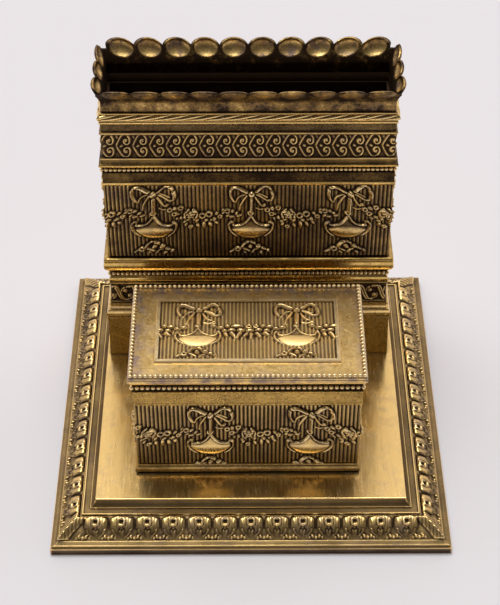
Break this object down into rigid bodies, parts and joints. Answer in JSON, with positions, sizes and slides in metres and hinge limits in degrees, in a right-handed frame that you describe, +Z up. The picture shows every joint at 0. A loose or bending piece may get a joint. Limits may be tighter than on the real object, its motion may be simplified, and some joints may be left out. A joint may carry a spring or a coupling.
{
  "type": "desk inkwell with letter rack",
  "caption": "Square moulded brass desk stand with a hinged-lid ink box in front and a tall open letter rack behind, all in stamped relief.",
  "frame": {"origin": "middle of the base's underside, on the surface it stands on", "axes": "+Z up, +Y from the ink box in front to the rack behind, +X to the right as seen from the front"},
  "size_m": [0.16, 0.16, 0.1545],
  "materials": {
    "polished_brass": "polished gilt brass, worn, with brown tarnish in corners",
    "relief_brass": "stamped gilt brass, bright on the high relief and dark brown in the ground",
    "dark_brass": "unpolished, darkened sheet brass",
    "clear_glass": "clear pressed glass",
    "hinge_brass": "plain drawn brass, dulled",
    "steel": "darkened steel"
  },
  "bodies": {
    "stand": {"base_casting": "polished_brass", "rack_screws": "steel", "box_screws": "steel", "rack_foot_plate": "dark_brass", "rack_plinth": "polished_brass", "rack_foot_moulding": "polished_brass", "rack_scroll_frieze": "relief_brass", "rack_lower_beading": "relief_brass", "rack_front_panel": "relief_brass", "rack_back_panel": "relief_brass", "rack_left_panel": "relief_brass", "rack_right_panel": "relief_brass", "rack_upper_beading": "relief_brass", "rack_heart_frieze": "relief_brass", "rack_rope_moulding": "relief_brass", "rack_gallery": "relief_brass", "rack_liner": "dark_brass", "box_floor_plate": "dark_brass", "box_plinth": "polished_brass", "box_front_panel": "relief_brass", "box_back_panel": "relief_brass", "box_left_panel": "relief_brass", "box_right_panel": "relief_brass", "box_neck_band": "relief_brass", "box_rim_beading": "relief_brass", "box_divider": "dark_brass", "glass_well_left": "clear_glass", "glass_well_right": "clear_glass", "hinge_leaf_box": "hinge_brass", "hinge_pin": "steel"},
    "lid": {"lid_frame": "polished_brass", "lid_panel": "relief_brass", "lid_panel_border": "polished_brass", "lid_beading": "relief_brass", "hinge_leaf_lid": "hinge_brass"}
  },
  "joints": [
    {"name": "lid_hinge", "type": "hinge", "parent": "stand", "child": "lid", "pos_m": [-0.0012, 0.004, 0.0656], "axis": [-1, 0, 0], "range_deg": [0, 100]}
  ]
}
